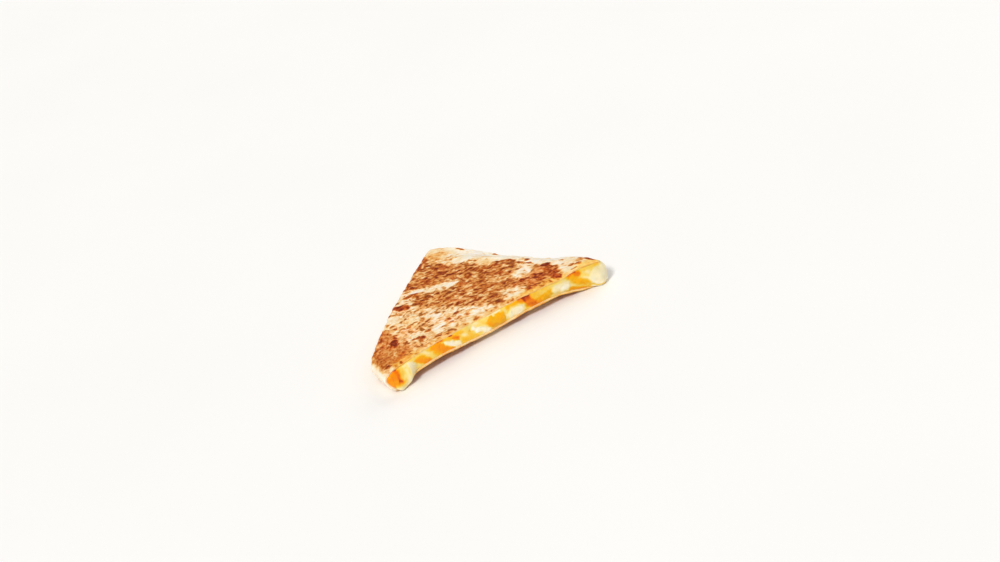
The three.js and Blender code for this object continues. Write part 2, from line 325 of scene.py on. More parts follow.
# ---- Browning of the tortilla ----
# Outlines of the top's browned parts.
MAIN_BROWN = [
    (46, 69), (72, 96), (71, 90), (72, 83), (77, 75), (83, 65), (87, 56), (90, 51.5),
    (97, 50), (102, 45), (101, 39), (97, 34.5), (93, 31), (90, 26), (90, 21), (85, 17),
    (79, 19), (75, 8), (71, 7), (65, 14),
    (55, 26), (48.5, 35), (44, 45), (42.5, 52), (45, 57), (51, 56.5), (57, 50), (66, 45),
    (71, 48.5), (68, 53.5), (61, 58.5), (56, 60.5), (49.5, 62.5),
]
RIM_BROWN = [
    (84, 16), (85, 21), (89, 23), (95, 20), (99, 20.5), (103, 25.5), (111, 23), (112.5, 16),
    (109.5, 12), (109, 6), (104.5, 6), (103, 10), (97, 9.5), (91, 6), (88, 8), (90, 13),
]
TIP_BROWN = [
    (-1, 20), (10, 34), (16, 40), (19, 37), (17, 32), (19.5, 27), (18, 20), (20, 14),
    (18, 9), (12, 6.5), (4, 6.5), (1, 3), (-2, 5), (-1.5, 13),
]
# Single marks and pale patches: x, y, half length, half width, turn in degrees, strength.
DARK_SPOTS = [
    (34.2, 52, 6.4, 3.1, -46, 0.95), (15.6, 23.6, 5.2, 2.9, 64, 1.02), (18.4, 27.8, 2.2, 1.3, 64, 0.85),
    (14.6, 26.4, 1.6, 1, 64, 0.75), (17.6, 21, 1.6, 0.9, 64, 0.75), (1.9, 4.5, 3, 2.1, 60, 1.05),
    (0.8, 11.7, 1.5, 1.2, 0, 0.7), (26.2, 15.6, 2.6, 1.9, 60, 0.85), (28.4, 13.6, 3, 2.2, 60, 0.95),
    (26.8, 11.4, 1.8, 1.4, 0, 0.75), (24.2, 16.4, 1.8, 1.6, 0, 0.9), (33, 17.2, 1.4, 1.2, 0, 0.85),
    (43.5, 59, 3.6, 1.5, -14, 0.85), (47.4, 57, 2, 1.5, -30, 0.8), (50.4, 65.8, 2.6, 1.7, -40, 0.95),
    (59, 69, 2.6, 2, 0, 0.9), (64.5, 85.3, 6, 1.8, 45, 0.85), (70.6, 91.6, 3.8, 2, 45, 0.75),
    (71.3, 72, 3.2, 1.2, -60, 0.85), (76.3, 60.4, 2.2, 1.6, 0, 1), (91.7, 48.5, 2, 1.6, 0, 0.8),
    (69, 57, 2.4, 1.9, 0, 0.92), (70.5, 44.5, 3, 1.8, -30, 0.9), (68.5, 87.5, 2.8, 1.8, 45, 0.92),
    (57, 32.5, 2.6, 1.8, -50, 0.88), (99.2, 47.6, 3.2, 1.4, -48, 0.9), (94.3, 44.8, 3.4, 1.8, -45, 0.85),
    (89, 37.4, 3.4, 1.8, -20, 0.85), (102.8, 36.6, 4.2, 1.3, -52, 0.75), (104.5, 33, 3.2, 1.6, -50, 0.95),
    (104.6, 21.6, 2, 1.6, 0, 0.8), (107, 37.8, 2.4, 1.8, 20, 0.9), (91.7, 20, 2.6, 1.6, 20, 1),
    (86.5, 18, 2, 1.6, 0, 0.85), (108.4, 22.4, 3.4, 2.6, -30, 1), (105.6, 19, 2.4, 1.6, -60, 0.85),
    (106, 7.2, 2.2, 3.6, 8, 1), (117.2, 20.4, 1.1, 2.8, 10, 0.7), (114.8, 14.4, 1.6, 1.1, 0, 0.65),
    (115.6, 4, 2.8, 0.9, 12, 0.85), (117.4, 9, 2, 1.2, 30, 0.8), (120, 6.2, 2.4, 1.3, -30, 0.9),
    (122.4, 9.6, 3.4, 2.4, 40, 0.58), (124.2, 11.4, 1.2, 2.2, 20, 0.8), (126, 8.2, 1.3, 2.2, 25, 0.95),
    (127, 4.4, 1.3, 2.2, 10, 1), (90.8, 86, 1.7, 2.2, 0, 0.8), (104, 71, 2.2, 1.4, -20, 0.75),
    (82.4, 77.4, 1.1, 1, 0, 0.6), (28, 31, 2, 1.7, 0, 0.85), (23, 35, 1.8, 1.6, 0, 0.85),
    (24.6, 31.6, 1.8, 1.4, 0, 0.7), (45.4, 17.8, 2, 1.7, 0, 0.75), (45, 14, 2.4, 1.7, 0, 0.7),
    (50.5, 14.8, 2.2, 1.5, 0, 0.65), (56.5, 15.4, 2, 1.5, 0, 0.6), (51.8, 20.6, 2.4, 1.6, 0, 0.85),
    (54.5, 14, 1.6, 1.4, 0, 0.7), (35, 8.8, 1.5, 1.1, 20, 0.65), (20, 30.5, 1.7, 1.4, 0, 0.8),
]
PALE_PATCHES = [
    (97, 26.9, 7.5, 4.2, 16, 0.74), (82.5, 10, 4.4, 4.8, 0, 0.75), (62.5, 53, 7.5, 2.5, -36, 0.75),
    (51, 59.8, 4.5, 1.5, -36, 0.5), (48.5, 52, 4.5, 2.2, -20, 0.45), (62, 45, 2.6, 2.4, 0, 0.4),
    (104.5, 15, 2.4, 2.4, 0, 0.4), (37, 33, 5, 2.6, -40, 0.5), (26, 44.5, 4.5, 3.6, 30, 0.9),
    (42, 29.5, 3.4, 6.5, 20, 0.8), (51, 8.5, 3, 4.4, 0, 0.8), (60, 9.6, 3.2, 4.6, 0, 0.9),
    (39, 16.5, 5, 2.6, 0, 0.8), (112.6, 7.5, 2.6, 5.4, 0, 0.85), (82.5, 72.5, 4.2, 4, 0, 0.7),
    (34, 41, 5, 3, -40, 0.6), (98, 62, 6, 16, 28, 0.4), (115, 30, 5, 12, 18, 0.6),
]


def depth_inside(outline, x, y):
    """How far inside an outline each point lies; negative outside."""
    nearest = np.full_like(x, 1e9)
    inside = np.zeros(x.shape, bool)
    for (ax, ay), (bx, by) in zip(outline, outline[1:] + outline[:1]):
        ex, ey = bx - ax, by - ay
        share = np.clip(((x - ax) * ex + (y - ay) * ey) / (ex * ex + ey * ey), 0, 1)
        nearest = np.minimum(nearest, np.hypot(x - ax - share * ex, y - ay - share * ey))
        if ey:
            inside ^= ((ay > y) != (by > y)) & (x < ax + (y - ay) * ex / ey)
    return np.where(inside, nearest, -nearest)


GRAIN_RUN = (0.92, -0.39)  # the browning is drawn out this way
GRAIN_STRETCH = 0.26
TIP_SQUEEZE = 0.5  # and finer along it near the fold
# Small bumps: size of a cell, share of the cells that have one, its radius and height.
COARSE_CRAGS = (3.1, 0.85, (1.2, 2.3), (0.5, 1.0))
FINE_CRAGS = (1.7, 0.8, (0.6, 1.2), (0.3, 0.8))
BLISTERS = (9, 0.72, (2.6, 5), (0.25, 0.75))
FRECKLES = (6.5, 0.5, (1.6, 3.0), (0.4, 1.0))
FLECKS = (5.0, 0.62, (1.0, 2.1), (0.4, 1.0))
MEAN_RELIEF = 0.45
BROWN_EDGE = (-1.6, 1.4)  # a browned part begins between these depths in its outline
TIP_EDGE = (-2.0, 1.6)
FAR_CORNER = (76, 87)  # an evenly golden place
RIM_PALING_AND_LIGHT = (104, 116)  # the top gets pale between these distances from the origin, partly its own paler toast and partly painted light on the rim's shaded slope


def frayed(x, y, salt, amount=1.0):
    """Coordinates pushed about, so that what is drawn in them has ragged edges."""
    wx = x + amount * (1.7 * fractal(x, y, 5, salt) + 0.7 * noise(x, y, 1.7, salt + 3))
    wy = y + amount * (1.7 * fractal(x, y, 5, salt + 7) + 0.7 * noise(x, y, 1.7, salt + 9))
    return wx, wy


def drawn_out(x, y, stretch=GRAIN_STRETCH):
    run = stretch * (x * GRAIN_RUN[0] + y * GRAIN_RUN[1])
    return x - run * GRAIN_RUN[0], y - run * GRAIN_RUN[1]


def marks(places, x, y, salt):
    """The strongest of some single marks at each point."""
    wx, wy = frayed(x, y, salt, 0.7)
    ragged = 0.2 * fractal(*drawn_out(x, y), 2.4, salt + 21, 2)
    field = np.zeros_like(x)
    for px, py, length, width, turn, strength in places:
        c, s = math.cos(math.radians(turn)), math.sin(math.radians(turn))
        u, w = (wx - px) * c + (wy - py) * s, (wy - py) * c - (wx - px) * s
        away = np.hypot(u / length, w / width) + ragged
        field = np.maximum(field, strength * (1 - ease(away, 0.65, 1.2)))
    return field


def crags(x, y, salt):
    """Small relief from 0 to 1.2: blisters of 2 to 3 mm with finer ones among them."""
    x, y = drawn_out(x, y)
    wx = x + 0.7 * fractal(x, y, 3, salt + 41)
    wy = y + 0.7 * fractal(x, y, 3, salt + 43)
    coarse = lumps(wx, wy, *COARSE_CRAGS, salt)
    fine = lumps(wx, wy, *FINE_CRAGS, salt + 20)
    rough = 0.5 + 0.5 * fractal(x, y, 2.2, salt + 31)
    return np.clip(0.45 * coarse + 0.25 * fine + 0.4 * rough, 0, 1.2)


def mottle(x, y, relief, salt):
    """Fine light and dark from -1.3 to 1.3 that follows the relief."""
    wx, wy = x + 0.8 * noise(x, y, 2.1, salt + 1), y + 0.8 * noise(x, y, 2.1, salt + 2)
    wx, wy = drawn_out(wx, wy)
    grain = 0.5 * fractal(wx, wy, 2.7, salt, 2) + 1.05 * fractal(wx, wy, 1.2, salt + 5, 2)
    return np.clip(1.5 * grain + 0.8 * (relief - MEAN_RELIEF), -1.3, 1.3)


def light_toast(x, y, ragged, grain, rim_paling_and_light):
    """The paler ground, golden near the fold and the front cut, and palest by the rim, partly as painted
    light.
    """
    golden = bell(np.hypot((x - 27) / 1.3, y - 30), 0, 14) + 0.45 * bell(y, 4, 5)
    golden = golden + 0.7 * bell(x, 10, 16) * bell(y, 3, 6)
    toast = 0.28 + 0.07 * fractal(x, y, 9, 81) + 0.09 * np.clip(golden, 0, 2)
    # paler by the rim: partly its own paler toast, partly painted light on the rim's shaded slope
    toast = toast - 0.2 * rim_paling_and_light * (1 - 0.6 * bell(y, 12, 14))
    toast = toast + 0.09 * lumps(*ragged, *FRECKLES, 93) * (1 - rim_paling_and_light)
    toast = toast + (0.2 + 0.05 * golden) * (1 - 0.4 * rim_paling_and_light) * grain
    specks = ease(grain + 0.4 * fractal(x, y, 6, 83), 0.45, 0.95)
    few = (1 - 0.7 * rim_paling_and_light) * (1 - 0.8 * bell(y, 0, 5))
    return toast + (0.26 * specks + 0.46 * lumps(*ragged, *FLECKS, 85)) * few


def brown_toast(x, y, grain, rim_brown, pale):
    toast = 0.63 + 0.08 * fractal(x, y, 9, 87) + 0.06 * rim_brown
    toast = toast + np.where(grain > 0, 0.34, 0.28) * grain
    return lerp(toast, 0.24 + 0.16 * grain, 0.75 * pale)


def top_browning(x, y, relief):
    """How toasted the top is, its dark spots, and its hue from cool 0 to reddish 1."""
    ragged = frayed(x, y, 101)
    outlines = (MAIN_BROWN, RIM_BROWN)
    main, rim_brown = (ease(depth_inside(o, *ragged), *BROWN_EDGE) for o in outlines)
    brown = np.maximum(main, rim_brown)
    tip = ease(depth_inside(TIP_BROWN, *ragged), *TIP_EDGE)
    pale = np.clip(marks(PALE_PATCHES, x, y, 131), 0, 1)
    spots = marks(DARK_SPOTS, x, y, 151)
    grain = mottle(x, y, relief, 61)
    dots = fractal(*drawn_out(x, y, -TIP_SQUEEZE), 1.7, 103, 2)
    far = bell(from_point(x, y, FAR_CORNER), 0, 9)
    # the paling toward the rim, partly painted light that brightens the rim's shaded slope
    rim_paling_and_light = ease(np.hypot(x, y), *RIM_PALING_AND_LIGHT) * (1 - far)

    toast = lerp(light_toast(x, y, ragged, grain, rim_paling_and_light), 0.36 + 0.15 * grain, 0.8 * far)
    toast = lerp(toast, 0.17 + 0.17 * grain, 0.9 * pale)
    toast = lerp(toast, brown_toast(x, y, grain, rim_brown, pale), brown)
    amber = 0.58 + 0.09 * fractal(x, y, 7, 89) + 0.1 * grain + np.where(dots > 0, 0.34, 0.22) * dots
    toast = lerp(toast, amber, 0.93 * tip)
    toast = lerp(toast, 0.86 * spots + 0.2 * grain + 0.1 * dots, ease(spots, 0.15, 0.75))

    single = np.clip(spots, 0, 1)
    plain = (1 - brown) * (1 - tip) * (1 - single)
    hue = 0.5 + (0.26 + 0.16 * plain) * fractal(x, y, 6.5, 97)
    hue = hue - 0.4 * plain * ease(toast, 0.42, 0.7)
    hue = hue - 0.36 * pale + 0.35 * single
    hue = hue + 0.12 * tip + 0.22 * rim_brown - 0.2 * rim_paling_and_light * (1 - rim_brown)
    return np.clip(toast, 0, 1), spots, np.clip(hue, 0, 1)


def under_browning(x, y, relief):
    """The other toasted face, with its own broad marks."""
    body = ease(fractal(x, y, 26, 201) + 0.35 * fractal(x, y, 8, 211), -0.3, 0.1)
    grain = mottle(x, y, relief, 221)
    light = 0.18 + 0.17 * grain + 0.42 * ease(grain, 0.6, 1.0)
    return np.clip(lerp(light, 0.58 + 0.3 * grain, body), 0, 1)


# ---- The folded tortilla ----
TOP_ROWS, NOSE_ROWS, BOTTOM_ROWS, COLUMNS = 250, 34, 100, 208
TOP, FOLD, UNDER = 0, 1, 2  # the kinds of rows
EDGE_STEPS = np.array([0.0, 0.22, 0.5, 0.9, 1.5])  # columns this far from a cut
EDGE_ROUNDING = (0.35, 0.9)  # how deep and how wide the sheet's edges are rounded
# Greasy places: x, y, reach, amount.
GREASY = [
    (78, 87, 9, 0.5), (91, 56, 5, 0.5), (9, 3, 9, 0.8), (95, 1, 9, 1.1),
    (104, 1, 6, 1), (122, 1, 5, 1.1), (127, 2, 4, 1), (27, 32, 12, 0.35),
]
# The look of the cut through the sheet, and how much it keeps of the surface's.
CUT_LOOKS = {"toast": (0.2, 0), "grease": (0.15, 0.8), "hue": (0.5, 0)}
CUT_SHARES = (0.45, 0.8, 1.0)
# Rings round the edge: share of the way in, how far out, and a salt.
LIP = ((0.12, 0.06, 331), (0.5, 0.12, 337), (0.85, 0.04, 341))
LOWER_LIP = 0.5
CRAG_HEIGHT, UNDER_HEIGHT, SPOT_HEIGHT = 0.6, 0.28, 0.3
CALM_EDGE = 3
FOLD_FACE = (11.4, 12.9)  # the top's browning ends between these heights on the fold
FOLD_FOOT = (-2.2, -0.6)
WOBBLE_REACH = 3


def columns_across(t, steps, columns):
    """v for each column: some at fixed distances from both cuts, the rest evenly between."""
    width = width_at(t)[:, None]
    near = steps[None, :] / width
    between = np.linspace(0, 1, columns - 2 * len(steps) + 2)[None, 1:-1]
    last = near[:, -1:]
    middle = last + (1 - 2 * last) * between
    return np.concatenate([near, middle, 1 - near[:, ::-1]], 1)


def tortilla_rows():
    """Each row's t on the flat faces, its level round the fold, and its kind."""
    top = np.linspace(1, FOLD_START, TOP_ROWS)
    level = np.linspace(1, 0, NOSE_ROWS + 2)[1:-1]
    bottom = np.linspace(FOLD_START, 1, BOTTOM_ROWS)
    t = np.concatenate([top, np.full(NOSE_ROWS, FOLD_START), bottom])
    levels = np.concatenate([np.ones(TOP_ROWS), level, np.zeros(BOTTOM_ROWS)])
    kind = np.repeat([TOP, FOLD, UNDER], [TOP_ROWS, NOSE_ROWS, BOTTOM_ROWS])
    return t, levels, kind


def tortilla_surface(inset):
    """The tortilla's smooth surface as a grid, inset in from the outside."""
    t, level, kind = tortilla_rows()
    v = columns_across(np.maximum(t, FOLD_START), EDGE_STEPS, COLUMNS)
    t, level, kind = (np.broadcast_to(row[:, None], v.shape) for row in (t, level, kind))
    nose_t, nose_z = nose(v, level, inset)
    z = np.where(kind == TOP, top_height(t, v) - inset, bottom_height(t, v) + inset)
    z = np.where(kind == FOLD, nose_z, z)
    t = np.where(kind == FOLD, nose_t, t)
    grid = np.concatenate([plan(t, v), z[..., None]], -1)
    return grid, t, v, kind


def wobble(grid, t, v):
    """The knife's line isn't straight: both cuts and the rim waver a little."""
    x, y = grid[..., 0], grid[..., 1]
    width = np.maximum(width_at(t), 1)
    amount = 0.45 * fractal(x, y, 5, 301) + 0.2 * noise(x, y, 1.6, 305)
    front = bell(v * width, 0, WOBBLE_REACH) * amount
    back = bell((1 - v) * width, 0, WOBBLE_REACH) * amount
    rim = bell((1 - t) * RADIUS, 0, WOBBLE_REACH) * amount
    moved = grid.copy()
    moved[..., 0] += rim + back * BACK_OUTWARD[0]
    moved[..., 1] += back * BACK_OUTWARD[1] - front
    return moved


def tortilla_relief(x, y, z, kind, calm):
    """Heights of the surface over the smooth one, and the browning that goes with them."""
    on_fold = kind == FOLD
    relief = np.where(kind == UNDER, crags(x, y, 507), crags(x, y - 1.3 * np.where(on_fold, z, 0), 7))
    browned, spots, hue = top_browning(x, y, relief)
    swell = 0.16 * fractal(x, y, 11, 51)
    top = calm * lumps(x, y, *BLISTERS, 3) + CRAG_HEIGHT * (relief - MEAN_RELIEF) + swell
    top = top + SPOT_HEIGHT * spots * calm
    fold = 0.1 * (relief - 0.5) + 0.12 * fractal(y, z, 6, 55)
    height = np.where(kind == UNDER, UNDER_HEIGHT * calm * (relief - 1.0), top)
    on_top = np.where(on_fold, ease(z, *FOLD_FACE), 1)
    flat = np.where(kind == UNDER, ease(x, FOLD_RUN, FOLD_RUN + 6), on_top)
    height = lerp(fold, height, flat)

    folded = 0.05 + 0.06 * fractal(y, z, 4, 91) + 0.3 * bell(z, 12.0, 0.7) * (relief - 0.1)
    low = ease(-z, *FOLD_FOOT)
    under = under_browning(x, y, relief)
    toast = np.where(kind == UNDER, under, browned)
    toast = np.where(on_fold, lerp(folded, lerp(browned, under, low), on_top + low), toast)
    hue = np.where(kind == TOP, hue, 0.5 + 0.3 * fractal(x + z, y, 6.5, 99))
    return height, toast, np.clip(hue, 0, 1)


def raised(smooth, height, kind, from_edge):
    """The outer surface, with its relief and its rounded edges."""
    normal = grid_normals(smooth)
    if normal[TOP_ROWS // 2, COLUMNS // 2, 2] < 0:
        normal = -normal
    outer = smooth + height[..., None] * normal
    depth, width = EDGE_ROUNDING
    rounding = np.where(kind == UNDER, 0.5, 1) * depth * (1 - ease(from_edge, 0, width)) ** 2
    outer = outer - rounding[..., None] * normal
    outer[..., 2] = np.maximum(outer[..., 2], 0.02)
    return outer


def greasiness(x, y, from_front):
    grease = 0.6 * bell(from_front, 0, 4) + 0.4 * fractal(x, y, 9, 95)
    for *place, reach, amount in GREASY:
        grease = grease + amount * bell(from_point(x, y, place), 0, reach)
    return np.clip(grease, 0, 1)


def lip_rings(outer, smooth, inner, loop):
    """Rings round the sheet's edge, bowed outward, from its outer to its inner surface."""
    rows, columns = np.array(loop).T
    edge_out, edge_in = outer[rows, columns], inner[rows, columns]
    away = edge_out - smooth[rows, np.clip(columns, 6, COLUMNS - 7)]
    away[:, 2] = 0
    away /= np.maximum(np.linalg.norm(away, axis=1, keepdims=True), 1e-6)
    x, y, z = edge_out.T
    rings = []
    low = LOWER_LIP * (rows >= TOP_ROWS + NOSE_ROWS)
    for share, out, salt in LIP:
        rough = low + 0.12 * fractal(x + y, 3 * z, 1.3, salt)
        rings.append(lerp(edge_out, edge_in, share) + away * (out + rough)[:, None])
    return rings + [edge_in]


def with_cut(field, rings, loop, count, cut, kept):
    """A look at each point of the sheet, with that of the cut round its edge."""
    edge = np.array(loop).T
    at_edge = field[edge[0], edge[1]]
    at_cut = np.maximum(cut, kept * at_edge)
    values = np.full(count, cut)
    values[: field.size] = field.reshape(-1)
    for k, share in enumerate(CUT_SHARES):
        start = field.size + k * len(loop)
        rough = 0.16 * fractal(*rings[k][:, :2].T, 2.5, 351 + k)
        values[start : start + len(loop)] = lerp(at_edge, at_cut, share) + rough
    return values


def make_tortilla(material):
    smooth, t, v, kind = tortilla_surface(0.0)
    smooth = wobble(smooth, t, v)
    x, y, z = np.moveaxis(smooth, -1, 0)
    from_edge = np.minimum(np.minimum(v, 1 - v) * width_at(t), (1 - t) * RADIUS)
    height, toast, hue = tortilla_relief(x, y, z, kind, ease(from_edge, 0, CALM_EDGE))
    outer = raised(smooth, height, kind, from_edge)
    grease = greasiness(x, y, v * width_at(t)) * (kind != FOLD)

    inner = wobble(tortilla_surface(SHEET)[0], t, v)
    loop = loop_of(*outer.shape[:2])
    rings = lip_rings(outer, smooth, inner, loop)
    rows, columns = kept_lines(outer.shape[0], 9), kept_lines(COLUMNS, 14, 8)
    points, faces = closed_sheet(outer, rings, inner, rows, columns)

    looks = {"toast": toast, "grease": grease, "hue": hue}
    for key, (cut, kept) in CUT_LOOKS.items():
        looks[key] = with_cut(looks[key], rings, loop, len(points), cut, kept)
    piece = make_piece("tortilla_sheet", points, faces, looks, material)
    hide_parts("tortilla")


# ---- The filling ----
# Pools of white at the front cut: x, width and added share.
WHITE_POOLS = [
    (10.8, 4.6, 0.9), (39.5, 5.5, 0.45), (56, 4.5, 0.45), (77.5, 7.5, 0.55), (104, 5.5, 0.65),
    (125, 8, 0.75),
]
WHITE_LEAST, WHITE_MOST = 0.08, 0.88
# Bulges of the front cut: x, width and how far.
FRONT_BULGES = [(4, 5, 2.5), (11, 3.6, 2.5), (65, 8, 0.7), (106, 9, 0.5), (127, 8, 3.0)]
LEAST_BULGE, BULGE_POWER, END_RUN = 0.2, 0.6, 2.5
RIM_RECESS = 2.0  # the filling ends this far inside the rim
RIM_BULGE = 0.8
CORNER_OVERFLOW = 7.2  # but runs out at the front corner
CORNER_REACH, CORNER_JOINT = 14, 6
BACK_BULGE = 1.0
BACK_START = 4.0  # other sides have the front cut's strokes from here on
CUT_EDGE = 0.4
DROOPS = [(6, 5.5, 2.6), (12, 3, 0.6), (130, 9, 3.7)]  # x, width, how far it hangs
BLOB_LUMPS, OVERLAP = 0.5, 0.45
CHEESE_INSET = SHEET + 0.02
ALONG, NOSE_PART, ACROSS = 262, 24, 66
NOSE_END = FOLD_START + 4 / RADIUS
CHEESE_EDGE_STEPS = np.array([0.0, 0.5, 1.3, 2.6, 4.5])
INNER_TONE = 0.4


def white_share(x, y, v):
    """How far up the filling its white layer reaches."""
    front = sum_of_bells(WHITE_POOLS, x, WHITE_LEAST)
    inner = 0.42 + 0.42 * noise(x, y, 12, 31)
    share = lerp(front, inner, ease(v, 0.03, 0.18))
    return np.clip(share, WHITE_LEAST, WHITE_MOST)


def sum_of_bells(places, x, least=0.0):
    total = np.full_like(x, least)
    for centre, width, amount in places:
        total = total + amount * bell(x, centre, width)
    return total


# Strokes of melted cheese across the front cut: x, z to x, z, half width, tone from 0 for
# white through golden to 1 for browned, how far it bulges, and how soft its border is.
STROKES = [
    (43, 11.8, 58, 11.8, 2.4, 0.3, 0, 2), (43, 8, 51, 7, 2.2, 0.33, 0, 2.4),
    (6, 12, 7.2, 2, 3.4, 0.4, 0.1, 1.6), (12.4, 12.5, 12.6, 2, 3.4, 0.16, 0.3, 2.2),
    (14, 8.6, 14.4, 5.2, 1.1, 0.16, 0.2, 1.4), (8, 12.4, 13.6, 12.2, 1.2, 0.37, 0, 1.8),
    (10.4, 10.4, 11, 9.6, 0.9, 0.32, 0.1, 1.6), (10, 9.5, 11.5, 7.5, 0.8, 0.3, 0, 1.2),
    (0.2, 10.5, 1.4, 4.6, 3.9, 0.71, 0.4, 1.4), (4.2, 12.4, 4.9, 7.5, 0.9, 0.84, 0, 1.2),
    (4.9, 7.5, 5.8, 5.4, 0.8, 0.86, 0, 1), (5.2, 5.9, 5.9, 5.1, 0.75, 1, -0.3, 1.4),
    (4, 12.6, 5, 12, 0.8, 0.97, 0, 1), (2.6, 4.4, 7.4, 3.8, 0.9, 0.5, 0, 1.6),
    (3, 1.8, 12, 2.4, 1.9, 0.13, 0, 1.8), (9, 10.6, 9.8, 9.8, 0.8, 0.2, 0.2, 1.4),
    (8.4, 6.2, 9.4, 5.2, 0.9, 0.24, 0.2, 1.6), (17.8, 10.6, 23.2, 6.8, 1.8, 0.66, 0.4, 1.4),
    (15.2, 12.6, 19.4, 12.4, 0.8, 0.36, 0, 1.6), (21.2, 12.6, 26.4, 8.4, 1.1, 0.22, 0.2, 1.8),
    (24.8, 8.8, 27.6, 6.4, 1, 0.3, 0.1, 1.6), (28.4, 12.4, 32.4, 8.2, 2.7, 0.68, 0.5, 1.4),
    (32.2, 9.2, 39, 5.8, 1.6, 0.67, 0.3, 1.4), (31.6, 13.1, 34.6, 12.5, 0.7, 0.88, 0, 1.2),
    (36, 12.6, 42, 11.6, 1.6, 0.52, 0.1, 2.4), (40.2, 11, 42.6, 9.2, 0.8, 0.84, -0.1, 1.6),
    (38.4, 13.2, 39.6, 12.8, 0.5, 0.96, 0, 0.8), (36, 9.8, 42.8, 6.4, 1.5, 0.05, 0.5, 1.4),
    (44.8, 7, 50.4, 5.6, 1.1, 0.5, 0.2, 2), (43.6, 12.2, 45.4, 10.6, 0.9, 0.52, 0.2, 1.8),
    (46, 9.6, 48.4, 9, 0.9, 0.18, 0.2, 1.8), (49.6, 8.4, 51.6, 6.6, 0.7, 0.46, 0.1, 1.8),
    (50.4, 10.4, 51.6, 9.6, 0.5, 0.58, -0.2, 1.2), (52, 10.2, 55, 8.2, 0.8, 0.06, 0.4, 1),
    (54.6, 8.4, 60.4, 4.8, 1.35, 0.04, 0.5, 1), (50, 12.6, 57.5, 11.6, 0.9, 0.24, 0.1, 2.4),
    (63.9, 9, 68.2, 7.8, 3.6, 0.6, 0.8, 0.6), (61, 12.9, 69, 12.8, 0.6, 0.08, 0.1, 1),
    (64.4, 12.8, 64.6, 11.6, 0.7, 0.14, 0.3, 0.8), (71.4, 11.6, 72.6, 5.6, 0.9, 0.3, 0, 1.2),
    (73.6, 12.1, 80, 11.9, 1.1, 0.58, 0.2, 1.8), (74.6, 7.4, 80.6, 7, 2.3, 0.12, 0.7, 2),
    (76.4, 7.6, 80.4, 7.4, 1.1, 0.03, 0.3, 2.2), (81.6, 11.8, 84.4, 10.8, 1.4, 0.72, 0, 1.8),
    (80.8, 13.1, 84.4, 13, 0.8, 0.92, 0, 1.2), (84.6, 12.9, 85.6, 11, 2.1, 1.1, -0.2, 1.6),
    (85.6, 11, 88, 8.2, 1.5, 0.9, 0, 1.8), (86.2, 8, 90.8, 5.8, 2.2, 0.8, 0.2, 2.2),
    (89, 12.2, 96, 11.4, 1.7, 0.46, 0.1, 2.6), (95, 10.6, 98.4, 10, 1, 0.36, 0.1, 2),
    (91.4, 6.6, 95.4, 7.6, 1.5, 0.62, 0.4, 1.4), (94.6, 7, 100.8, 8.4, 1.7, 0.54, 0.5, 1.6),
    (98, 11.4, 106, 11.9, 0.9, 0.32, 0.1, 2), (102.4, 8.4, 108.6, 7.6, 2.7, 0.15, 0.6, 2.2),
    (105.6, 7.4, 108.2, 7, 1.1, 0.02, 0.2, 2.2), (111.4, 12, 117, 11.2, 1.5, 0.76, 0.2, 1.6),
    (110.6, 13, 115, 12.7, 0.6, 0.96, 0, 1.2), (124.6, 7.6, 131, 7, 4.6, 0.1, 0.2, 2.4),
    (112.6, 9.8, 121.6, 3, 1.7, 0.57, 0.4, 1.8), (110, 4.8, 118.4, 1.8, 1.1, 0.7, 0.2, 1.8),
    (114.2, 5.4, 119, 3.2, 0.6, 0.36, 0.2, 1.2), (119.6, 12.2, 130, 11.4, 1.7, 0.4, 0.1, 2.2),
    (119, 9.8, 122.4, 9.2, 1, 0.22, 0.1, 1.8), (119.5, 4, 125, 2.4, 0.9, 0.42, 0.1, 1.6),
    (124, 2.4, 131, 2, 2.2, 0.03, 0.1, 2.6), (121, 3.6, 127, 3, 0.5, 0.44, -0.3, 0.8),
    (119.6, 10, 121.4, 8.6, 0.8, 0.3, 0, 1.4),
]
CARRY = (0.42, -0.55)  # strokes run back and down over what bulges out
FLOW = (0.85, -0.53)  # the way the cheese has run


def strokes_at(x, z, out):
    """The cheese's tone, and how far it bulges, at places of the front cut."""
    x, z = x + CARRY[0] * out, z + CARRY[1] * out
    wx = x + 1.0 * fractal(x, z, 4, 441) + 0.35 * noise(x, z, 1.3, 443)
    wz = z + 0.8 * fractal(x, z, 3, 445) + 0.3 * noise(x, z, 1.3, 447)
    along, across = x * FLOW[0] + z * FLOW[1], z * FLOW[0] - x * FLOW[1]
    strings = fractal(along * 0.3, across, 1.5, 451)
    tone = 0.36 + 0.18 * fractal(along * 0.45, across, 3.6, 453) + 0.16 * strings
    bulge = 0.25 * fractal(x, z * 1.3, 3.5, 455) + 0.12 * strings
    for x0, z0, x1, z1, half_width, value, height, softness in STROKES:
        length = (x1 - x0) ** 2 + (z1 - z0) ** 2
        share = np.clip(((wx - x0) * (x1 - x0) + (wz - z0) * (z1 - z0)) / length, 0, 1)
        away = np.hypot(wx - lerp(x0, x1, share), wz - lerp(z0, z1, share)) / half_width
        soft = softness / 2 / half_width
        cover = 1 - ease(away, 1 - soft, 1 + soft)
        cap = height * (1 - np.minimum(away, 1) ** 2) ** 0.75
        tone = lerp(tone, value, cover)
        bulge = lerp(bulge, cap, cover)
    tone = tone + 0.08 * fractal(x, z, 2.2, 457) + 0.07 * strings
    return np.clip(tone, 0, 1), bulge


def side_tone(pools, level, split):
    """The tone at the back cut and the rim, where the two cheeses are less mixed."""
    upper = ease(level - split, -0.09, 0.09)
    return np.clip(lerp(0.4 * pools, 0.06 + pools, upper), 0, 1)


def filling_rows():
    """Each row's t, and how far it leans to the fold."""
    nose_t = np.linspace(FOLD_START, NOSE_END, NOSE_PART + 1)[:-1]
    end = 1 - RIM_RECESS / RADIUS
    t = np.concatenate([nose_t, np.linspace(NOSE_END, end, ALONG - NOSE_PART)])
    lean = np.concatenate([1 - np.arange(NOSE_PART) / NOSE_PART, np.zeros(ALONG - NOSE_PART)])
    return t, lean


